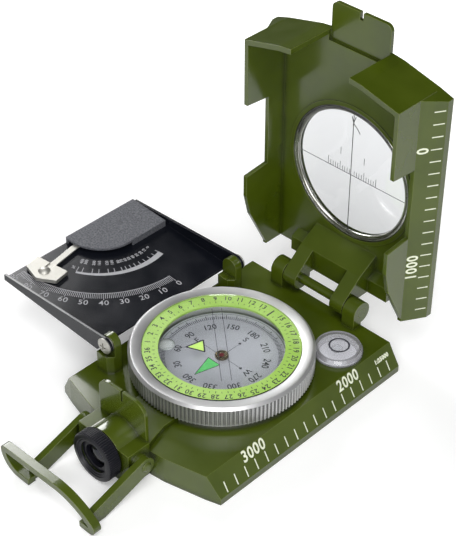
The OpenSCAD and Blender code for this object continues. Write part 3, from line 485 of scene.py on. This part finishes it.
dress(glass("clear_disc", (0.97, 0.985, 0.975), 1.49), "capsule_lens")
cup_bore_r = 20.38
wetting = 0.25
liquid_low, liquid_top = 2.85, 14.17
bubble_place = (-14.0, -8.6, 12.9)
bubble_r, bubble_flat = 2.6, 0.40
liquid = bmesh.new()
bmesh.ops.create_cone(liquid, cap_ends=True, segments=128, radius1=cup_bore_r + wetting,
                      radius2=cup_bore_r + wetting, depth=liquid_top - liquid_low,
                      matrix=Matrix.Translation((0, 0, (liquid_top + liquid_low) / 2)))
damping_fluid = glass("damping_fluid", (0.985, 0.985, 0.99), 1.40)
piece("capsule_liquid", liquid, "base", damping_fluid, smooth=30)
# Going from the fluid into air bends light the other way, so the ratio is below one
air = glass("air_bubble", (0.9, 0.92, 0.92), 0.72, milk=0.4, milk_tint=(0.95, 0.96, 0.97))
piece("capsule_bubble", air_bubble(bubble_place, bubble_r, bubble_flat), "base",
      air, smooth=180)

# Card: a printed disc on a brass-mounted jewel, with a bar magnet under it. Its figures run
# clockwise from north, and the north arrow is filled with luminous green.
card_silver = finish("card_silver", (0.56, 0.55, 0.63), (0.61, 0.60, 0.68), (0.65, 0.65, 0.7),
                     0.45, 0.55, 0.04, edge_r=0.1, level=0.4)
magnet_steel = finish("magnet_steel", (0.09, 0.09, 0.1), (0.13, 0.13, 0.14), (0.3, 0.3, 0.3),
                      0.35, 0.5, 0.1, metallic=1, edge_r=0.15)
brass = finish("jewel_brass", (0.22, 0.18, 0.12), (0.34, 0.28, 0.18), (0.7, 0.62, 0.45),
               0.18, 0.3, 0.03, metallic=1, edge_r=0.15)
ruby_red = finish("jewel_ruby", (0.16, 0.02, 0.03), (0.22, 0.04, 0.05), (0.3, 0.1, 0.1),
                  0.08, 0.15, 0.0, edge_r=0.05, coat=0.5)
dress(card_silver, "dial_card")
dress(magnet_steel, "card_magnet")
dress(brass, "card_jewel")
print_black = print_ink("print_black", (0.03, 0.03, 0.04))
print_grey = print_ink("print_grey", (0.05, 0.05, 0.06))
glow_green = print_ink("luminous_green", (0.17, 0.72, 0.22))


def round_place(z, angle, radius):
    """A spot on a dial, angle in degrees, whose Y points away from the middle"""
    return Matrix.Translation((0, 0, z)) @ Matrix.Rotation(math.radians(angle), 4, "Z") \
        @ Matrix.Translation((radius, 0, 0)) @ Matrix.Rotation(math.radians(-90), 4, "Z")


def tick(bm, z, angle, radius, length, width):
    """Prints a line on a dial, which starts at a radius and runs outward"""
    stroke(bm, (0, 0), (0, length), width, round_place(z, angle, radius))


# In the photo the card points its north at the eyepiece
north_at = -90
card_top = 10.7 + ink / 2
line_lift = 0.01
card_ticks_r, card_figures_r, card_letters_r = 16.3, 13.0, 9.9
card_rim = (18.6, 18.75)
long_tick, short_tick = (1.8, 0.24), (1.2, 0.2)
spoke_start, spoke_length, spoke_w = 1.9, 5.4, 0.12
spoke_dot_at, spoke_dot_r = 7.5, 0.42
north_corners = ((0, 11.0), (2.3, 3.1), (-2.3, 3.1))
ruby_z, ruby_r, ruby_thick = 11.62, 0.75, 0.06
card_print = bmesh.new()
for step in range(180):
    size = long_tick if step % 5 == 0 else short_tick
    tick(card_print, card_top, north_at - 2 * step, card_ticks_r, *size)
for heading in range(30, 390, 30):
    spot = round_place(card_top, north_at - heading, card_figures_r)
    lettering(card_print, str(heading), 2.2, spot, width=0.9, bold=0.03)
for text, heading in (("E", 90), ("S", 180), ("W", 270)):
    spot = round_place(card_top, north_at - heading, card_letters_r)
    lettering(card_print, text, 2.0, spot, bold=0.03)
    tick(card_print, card_top, north_at - heading, spoke_start, spoke_length, spoke_w)
    dot(card_print, spoke_dot_r, round_place(card_top, north_at - heading, spoke_dot_at), 16)
band(card_print, *card_rim, Matrix.Translation((0, 0, card_top)), 120)
piece("card_print", card_print, "card", print_grey)
north_arrow = bmesh.new()
blot(north_arrow, north_corners, round_place(card_top, north_at, 0))
piece("north_arrow", north_arrow, "card", glow_green)
north_line = bmesh.new()
outline(north_line, north_corners, 0.2, round_place(card_top + line_lift, north_at, 0))
piece("north_arrow_outline", north_line, "card", print_grey)
ruby = bmesh.new()
dot(ruby, ruby_r, Matrix.Translation((0, 0, ruby_z)), 24, thick=ruby_thick)
piece("jewel_ruby", ruby, "card", ruby_red)

# Bezel: a turned aluminium ring with a fluted grip, held by a clip on a friction washer.
# The green figure ring and the crystal sit in it and turn with it, and the crystal carries
# two sighting lines and a green mark.
bezel_r = 26.9
bezel_flutes = 138
flute_depth = 0.5
flute_top = 16.35
rim_slack = 0.01
bezel_profile = ((21.0, 15.3), (21.0, 15.9), (22.98, 15.9), (22.98, 16.92), (25.5, 17.4),
                 (26.15, 17.4), (bezel_r, 16.6), (bezel_r, flute_top), (bezel_r, 11.0),
                 (24.2, 11.0), (24.2, 15.3))
# The edge colour is a painted highlight on the metal, and the crease share darkens corners as
# painted shade
bright = finish("bright_turned", (0.66, 0.66, 0.67), (0.72, 0.72, 0.72), (0.95, 0.95, 0.95),
                0.32, 0.38, 0.02, metallic=0.88, edge_r=0.08, crease_shade=0.7)


def turned(profile, steps):
    """Spins a closed outline of (radius, height) pairs about an upright axis"""
    bm = bmesh.new()
    ring = [bm.verts.new((r, 0, z)) for r, z in profile]
    rim = [bm.edges.new(pair) for pair in zip(ring, ring[1:] + ring[:1])]
    bmesh.ops.spin(bm, geom=ring + rim, cent=(0, 0, 0), axis=(0, 0, 1), angle=math.tau,
                   steps=steps, use_merge=True)
    bmesh.ops.remove_doubles(bm, verts=bm.verts, dist=0.0005)
    bmesh.ops.recalc_face_normals(bm, faces=bm.faces)
    return bm


def cut_teeth(bm, radius, depth, teeth, top=math.inf):
    """Sinks two of every four points of a turned rim, up to a height, as square teeth"""
    for v in bm.verts:
        if v.co.xy.length > radius - rim_slack and v.co.z < top + rim_slack:
            phase = round(math.atan2(v.co.y, v.co.x) / math.tau * teeth * 4) % 4
            if phase in (0, 1):
                v.co.xy *= 1 - depth / radius


bezel = turned(bezel_profile, bezel_flutes * 4)
cut_teeth(bezel, bezel_r, flute_depth, bezel_flutes, flute_top)
bezel_piece = piece("fluted_bezel", bezel, "bezel", bright, smooth=32)
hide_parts("bezel_ring")
dress(turned_cup, "bezel_friction_washer", "bezel_retainer")

figure_green = finish("figure_green", (0.36, 0.60, 0.10), (0.42, 0.66, 0.14),
                      (0.5, 0.72, 0.25), 0.3, 0.45, 0.03, edge_r=0.1)
dress(figure_green, "azimuth_ring")
ring_top = 16.6 + ink / 2
ring_start = 229.7
ring_figures_r = 21.2
# Each line's start, length and width. One longer line takes the place of the figure 14
ring_tick, half_tick, ring_line = (19.1, 0.8, 0.18), (19.3, 0.55, 0.16), (18.7, 3.2, 0.45)
ring_line_at = 14
ring_print = bmesh.new()
for k in range(1, 37):
    at = ring_start - 10 * k
    if k == ring_line_at:
        tick(ring_print, ring_top, at, *ring_line)
    else:
        lettering(ring_print, str(k), 1.75, round_place(ring_top, at, ring_figures_r),
                  width=0.95, bold=0.03, space=1.1)
        tick(ring_print, ring_top, at, *ring_tick)
    tick(ring_print, ring_top, at + 5, *half_tick)
piece("figure_ring_print", ring_print, "bezel", print_black)

dress(glass("crystal", (0.98, 0.985, 0.98), 1.46), "bezel_crystal")
crystal_top = 17.25 + ink / 2
lines_at = -130.3
line_half_gap = 1.42
line_ends, line_w = (-15.2, 16.4), 0.14
middle_line = (10.2, 6.4, 0.10)
mark_corners = ((0, 9.6), (2.2, 5.2), (-2.2, 5.2))
mark_frame = ((0, 10.25), (2.55, 5.05), (-2.55, 5.05))
crystal_print = bmesh.new()
spot = round_place(crystal_top, lines_at, 0)
for side in (-line_half_gap, line_half_gap):
    stroke(crystal_print, (line_ends[0], side), (line_ends[1], side), line_w, spot)
tick(crystal_print, crystal_top, lines_at, *middle_line)
outline(crystal_print, mark_frame, 0.42, spot)
piece("crystal_print", crystal_print, "bezel", print_black)
bezel_mark = bmesh.new()
blot(bezel_mark, mark_corners, round_place(crystal_top - line_lift, lines_at, 0))
mark_green = print_ink("mark_green", (0.55, 0.83, 0.18))
piece("bezel_mark", bezel_mark, "bezel", mark_green)

# Bubble level: a round acrylic vial pressed into the base beside the bezel, on a white
# disc, with a printed circle over a bubble of air.
level_x, level_y = 19.6, 28.4
level_top = 11 + ink / 2
circle_inner, circle_outer = 2.65, 3.15
circle_y = level_y + 0.5
air_x, air_y, air_z = level_x - 0.3, level_y - 0.1, 9.6
air_r, air_flat = 1.7, 0.36
air_rim_inner, air_rim_outer, air_rim_z = 1.5, 1.75, 9.4
acrylic = glass("vial_acrylic", (0.96, 0.97, 0.975), 1.49, milk=0.25,
                milk_tint=(0.72, 0.71, 0.76))
white_disc = finish("white_disc", (0.70, 0.69, 0.74), (0.76, 0.75, 0.80), (0.8, 0.8, 0.85),
                    0.4, 0.5, 0.03, edge_r=0.1)
dress(acrylic, "level_vial")
dress(white_disc, "level_disc")
level_print = bmesh.new()
band(level_print, circle_inner, circle_outer,
     Matrix.Translation((level_x, circle_y, level_top)), 64)
band(level_print, air_rim_inner, air_rim_outer,
     Matrix.Translation((air_x, air_y, air_rim_z)), 40)
piece("level_circle", level_print, "base", print_black)
level_air = glass("level_air", (0.9, 0.92, 0.92), 1.33)
piece("level_bubble", air_bubble((air_x, air_y, air_z), air_r, air_flat), "base",
      level_air, smooth=180)

# Lid: a second casting, hinged on a long pin, with a round window of thin glass under a
# snap ring. A steel hair is stretched over the window and knotted at both ends, and the
# cross line is printed on the glass. All of it is drawn on the lid laid flat open.
ring_black = finish("ring_black", (0.45, 0.45, 0.42), (0.60, 0.60, 0.56), (0.9, 0.9, 0.88),
                    0.12, 0.22, 0.03, metallic=1, edge_r=0.08)
hair_wire = finish("hair_wire", (0.03, 0.03, 0.03), (0.05, 0.05, 0.05), (0.1, 0.1, 0.1),
                   0.3, 0.4, 0.0, metallic=0.6, edge_r=0.02)
dress(glass("window_glass", (0.80, 0.81, 0.82), 1.45), "window_glass")
dress(hair_wire, "sighting_hair")
hinge_y, hinge_z = 42.1, 13.6
lid_stand = Matrix(((1, 0, 0, 0), (0, 0, -1, hinge_y + hinge_z), (0, 1, 0, hinge_z - hinge_y),
                    (0, 0, 0, 1)))


def stand_up(bm):
    """Turns what was drawn on the flat-open lid upright with it"""
    bmesh.ops.transform(bm, matrix=lid_stand, verts=bm.verts)
    return bm


window_y = 78.4
snap_ring = turned(((20.2, 1.4), (20.2, 1.85), (20.45, 2.15), (20.8, 2.15), (20.95, 1.8),
                    (21.15, 1.8), (21.3, 2.35), (21.75, 2.4), (21.98, 2.2), (21.98, 1.4)), 128)
bmesh.ops.translate(snap_ring, verts=snap_ring.verts, vec=(0, window_y, 0))
snap_piece = piece("turned_window_ring", stand_up(snap_ring), "lid", ring_black,
                   smooth=40)
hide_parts("window_ring")

lid_first_y = 114.28
lid_print = bmesh.new()
ruler(lid_print, lid_first_y, (("0", 102.28, ruler_figure), ("1000", 62.28, ruler_figure)))
piece("lid_ruler_print", stand_up(lid_print), "lid", cream_ink)

reticle = bmesh.new()
cross_y = 77.6
cross_half = 20.0
reticle_gap = 0.905
reticle_long, reticle_short, reticle_w = 2.85, 1.75, 0.16
side_marks_x = (-4.5, 4.35)
side_marks_low, side_marks_high = 83.0, 85.45
glass_top = Matrix.Translation((0, 0, 1.4 + ink / 2))
stroke(reticle, (-cross_half, cross_y), (cross_half, cross_y), 0.2, glass_top)
for i in (*range(-10, 0), *range(1, 11)):
    tall = reticle_long if i % 5 == 0 else reticle_short
    x = i * reticle_gap
    stroke(reticle, (x, cross_y), (x, cross_y + tall), reticle_w, glass_top)
for x in side_marks_x:
    stroke(reticle, (x, side_marks_low), (x, side_marks_high), reticle_w, glass_top)
piece("window_reticle", stand_up(reticle), "lid", print_black)


def hair(name, points, radius):
    """Draws a thin round wire through points in mm on the flat-open lid"""
    curve = bpy.data.curves.new(name, "CURVE")
    curve.dimensions = "3D"
    curve.bevel_depth = radius
    curve.bevel_resolution = 3
    curve.use_fill_caps = True
    spline = curve.splines.new("NURBS")
    spline.points.add(len(points) - 1)
    spline.use_endpoint_u = True
    spline.order_u = 4
    spline.resolution_u = 8
    for point, at in zip(spline.points, points):
        point.co = (*(lid_stand @ Vector(at)), 1)
    holder = bpy.data.objects.new(name, curve)
    mesh = bpy.data.meshes.new_from_object(holder)
    bm = bmesh.new()
    bm.from_mesh(mesh)
    bpy.data.meshes.remove(mesh)
    bpy.data.objects.remove(holder)
    bpy.data.curves.remove(curve)
    bmesh.ops.remove_doubles(bm, verts=bm.verts, dist=0.001)
    piece(name, bm, "lid", hair_wire, smooth=60)


hair("hair_tail_top", (
    (-0.9, 97.6, 1.6), (-0.7, 97.0, 1.7), (0.1, 95.6, 1.9), (0.9, 95.1, 2.0),
    (2.0, 94.4, 2.1), (2.8, 93.4, 2.2)), 0.11)
hair("hair_tail_top_turn", (
    (0.5, 97.9, 1.6), (0.35, 97.0, 1.8), (0.0, 95.9, 1.95), (-0.1, 95.2, 2.0)), 0.11)
hair("hair_knot_low", (
    (-0.6, 57.7, 1.7), (-0.3, 57.2, 2.1), (0.2, 57.3, 2.2), (0.5, 57.9, 2.0),
    (0.2, 58.3, 1.8), (-0.3, 58.2, 1.9), (-0.1, 57.6, 2.2), (0.9, 57.4, 2.0)), 0.12)

# Clinometer: a folded steel sheet, blackened and screen printed, which swings out on two
# screws. A weighted strip hangs from a rivet under a moulded cover and reads the slope.
black_sheet = finish("black_sheet", (0.004, 0.005, 0.008), (0.007, 0.008, 0.012),
                     (0.07, 0.07, 0.08), 0.18, 0.25, 0.03, edge_r=0.15, drift=90, level=0.4)
cover_grain = finish("cover_grain", (0.060, 0.062, 0.072), (0.150, 0.155, 0.172),
                     (0.16, 0.16, 0.18), 0.5, 0.62, 0.6, edge_r=0.15, grain=2600, drift=1900,
                     level=0.3)
nickel = finish("nickel", (0.48, 0.47, 0.43), (0.58, 0.57, 0.53), (0.9, 0.89, 0.85),
                0.42, 0.54, 0.03, metallic=0.85, edge_r=0.12, drift=300)
dress(black_sheet, "clinometer_plate")
dress(cover_grain, "sector_cover", "pendulum_pivot")
dress(nickel, "pendulum_arm", "pendulum_weight", "weight_rivet", "clinometer_screws",
      "clinometer_washers", "housing_screws")
scale_ink = print_ink("scale_ink", (0.37, 0.37, 0.39))
clin_axis = Vector((-22.5, 0, 18.4))
clin_tilt = math.radians(2.95)
plate_drop = 2.94
pivot_out, pivot_y = 42.9, 12.95
plate_out = Vector((-math.cos(clin_tilt), 0, math.sin(clin_tilt)))
plate_up = Vector((math.sin(clin_tilt), 0, math.cos(clin_tilt)))
scale_centre = clin_axis + plate_out * pivot_out + Vector((0, pivot_y, 0)) \
    + plate_up * (ink / 2 - plate_drop)
plate_frame = plane(scale_centre, -plate_out, (0, 1, 0))


def reading_place(reading, radius):
    """A spot on the slope scale: 0 lies toward the hinge and 90 toward the near end"""
    return plate_frame @ Matrix.Rotation(math.radians(-reading), 4, "Z") \
        @ Matrix.Translation((radius, 0, 0)) @ Matrix.Rotation(math.radians(90), 4, "Z")


slope_start = 1
slope_ticks_r, slope_figures_r = 31.15, 35.4
slope_long, slope_short, slope_tick_w = 2.9, 2.2, 0.17
slope_line_inner, slope_line_outer = 31.0, 31.2
slope_print = bmesh.new()
for degree in range(0, 91):
    tall = slope_long if degree % 10 == 0 else slope_short
    stroke(slope_print, (0, 0), (0, -tall), slope_tick_w,
           reading_place(degree + slope_start, slope_ticks_r))
band(slope_print, slope_line_inner, slope_line_outer, plate_frame, 60, start=-91.2, end=-0.8)
for degree in range(0, 91, 10):
    lettering(slope_print, str(degree), 2.1,
              reading_place(degree + slope_start, slope_figures_r),
              width=1.05, bold=0.01, space=1.05)

# The inner scale gives the same slope as a share of the level distance, in hundredths. The
# arc under it is wider at 0
share_start, share_end = -13.6, 62.4
share_span = share_end - share_start
share_ticks_r, share_figures_r = 22.2, 17.1
share_tick, share_tick_w = 2.3, 0.2
percent_at, percent_r = 66.5, 20.6
arc_outer, arc_inner, arc_growth = 22.9, 22.1, 1.1
arc_steps = 24
arc_at = [share_start + share_span * i / arc_steps for i in range(arc_steps + 1)]
arc = [(at, arc_outer) for at in arc_at] + [
    (at, arc_inner - arc_growth * (share_end - at) / share_span) for at in reversed(arc_at)]
blot(slope_print, [(r * math.cos(math.radians(-at)), r * math.sin(math.radians(-at)))
                   for at, r in arc], plate_frame)
for share in (0, 10, 20, 30, 40, 50, 60, 70, 80, 100, 120, 160, 200, 300, 400):
    at = share_start + math.degrees(math.atan(share / 100))
    stroke(slope_print, (0, 0), (0, share_tick), share_tick_w,
           reading_place(at, share_ticks_r))
    spot = reading_place(at, share_figures_r) @ Matrix.Rotation(math.radians(90), 4, "Z")
    lettering(slope_print, str(share), 0.95, spot, bold=0.04, space=1.15)
lettering(slope_print, "%", 1.3, reading_place(percent_at, percent_r))
piece("slope_print", slope_print, "clinometer", scale_ink)

# Eyepiece: a housing screwed to the base, with a fluted black focusing ring that carries
# the lens over a small prism.
ring_metal = finish("black_anodised", (0.004, 0.004, 0.007), (0.008, 0.008, 0.012),
                    (0.03, 0.03, 0.04), 0.24, 0.34, 0.03, edge_r=0.12, level=0.35)
ring_teeth = 72
tooth_depth = 0.3
focus_r = 7.7
focus_near = -50.2
eye_z = 7.9
focus_ring = turned(((5.0, 0.9), (5.0, 0.6), (5.4, 0.5), (5.55, 0.25), (6.0, 0.25),
                     (6.15, 0.0), (7.2, 0.0), (7.45, 0.12), (focus_r, 0.5), (focus_r, 3.6),
                     (7.45, 4.0), (6.25, 4.05), (6.25, 0.9)), ring_teeth * 4)
cut_teeth(focus_ring, focus_r, tooth_depth, ring_teeth)
bmesh.ops.transform(focus_ring, verts=focus_ring.verts,
                    matrix=Matrix.Translation((0, focus_near, eye_z))
                    @ Matrix.Rotation(-math.pi / 2, 4, "X"))
focus_piece = piece("knurled_focusing_ring", focus_ring, "focus", ring_metal,
                    smooth=30)
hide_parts("focusing_ring")
dress(ring_metal, "lens_cell")
# The lens glass is tinted nearly black as painted shade for the dark housing seen through it
dress(glass("eyepiece_glass", (0.03, 0.033, 0.05), 1.52), "eyepiece_lens")
dress(glass("prism_glass", (0.4, 0.42, 0.45), 1.52), "eyepiece_prism")
